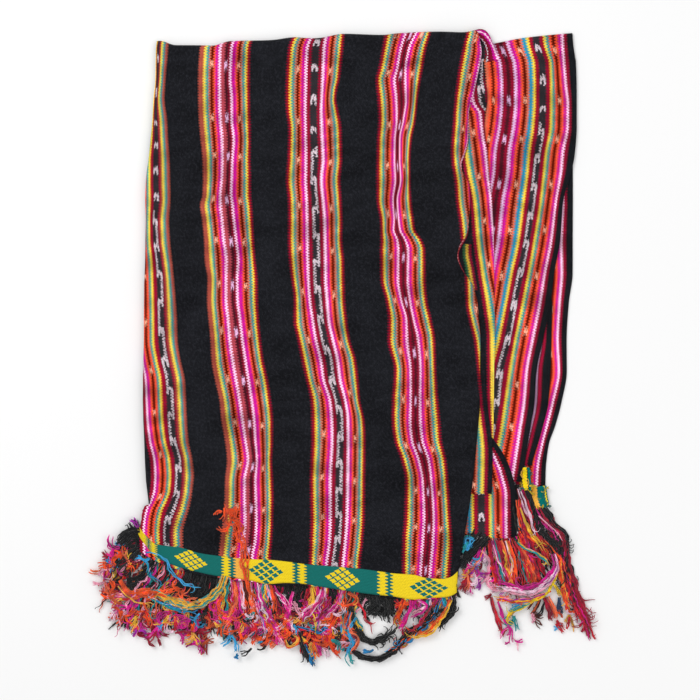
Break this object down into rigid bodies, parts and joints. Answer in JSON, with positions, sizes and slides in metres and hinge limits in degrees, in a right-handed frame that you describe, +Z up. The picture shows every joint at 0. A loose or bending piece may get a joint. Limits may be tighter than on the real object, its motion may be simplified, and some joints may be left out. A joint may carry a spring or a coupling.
{
  "type": "handwoven wrap cloth",
  "caption": "Folded handwoven wrap cloth lying flat, with rounded folds, layered side selvedges, a wrapped border band and long warp fringe; opened out it is worn wrapped round the body",
  "frame": {"origin": "centre of the bounding box in plan, on the table it lies on", "axes": "+Z up off the table, +Y towards the far folded edge, +X towards the side with the selvedges"},
  "size_m": [0.6937, 0.8926, 0.0164],
  "materials": {
    "cloth_front": "warp-faced handwoven cotton, striped",
    "cloth_side": "warp-faced handwoven cotton, striped",
    "band": "wrapped weft",
    "fringe": "loose twisted warp yarn"
  },
  "bodies": {
    "root": {"front_panel": "cloth_front", "folded_layers": "cloth_front", "side_panel": "cloth_side", "middle_layer": "cloth_side", "under_layer": "cloth_side", "inner_fold": "cloth_side", "lower_flap": "cloth_side", "upper_flap": "cloth_side", "band_front": "band", "band_rear_1": "band", "band_rear_2": "band", "fringe_front_1": "fringe", "fringe_front_2": "fringe", "fringe_front_3": "fringe", "fringe_front_4": "fringe", "fringe_front_5": "fringe", "fringe_rear_1": "fringe", "fringe_rear_2": "fringe"}
  },
  "joints": []
}
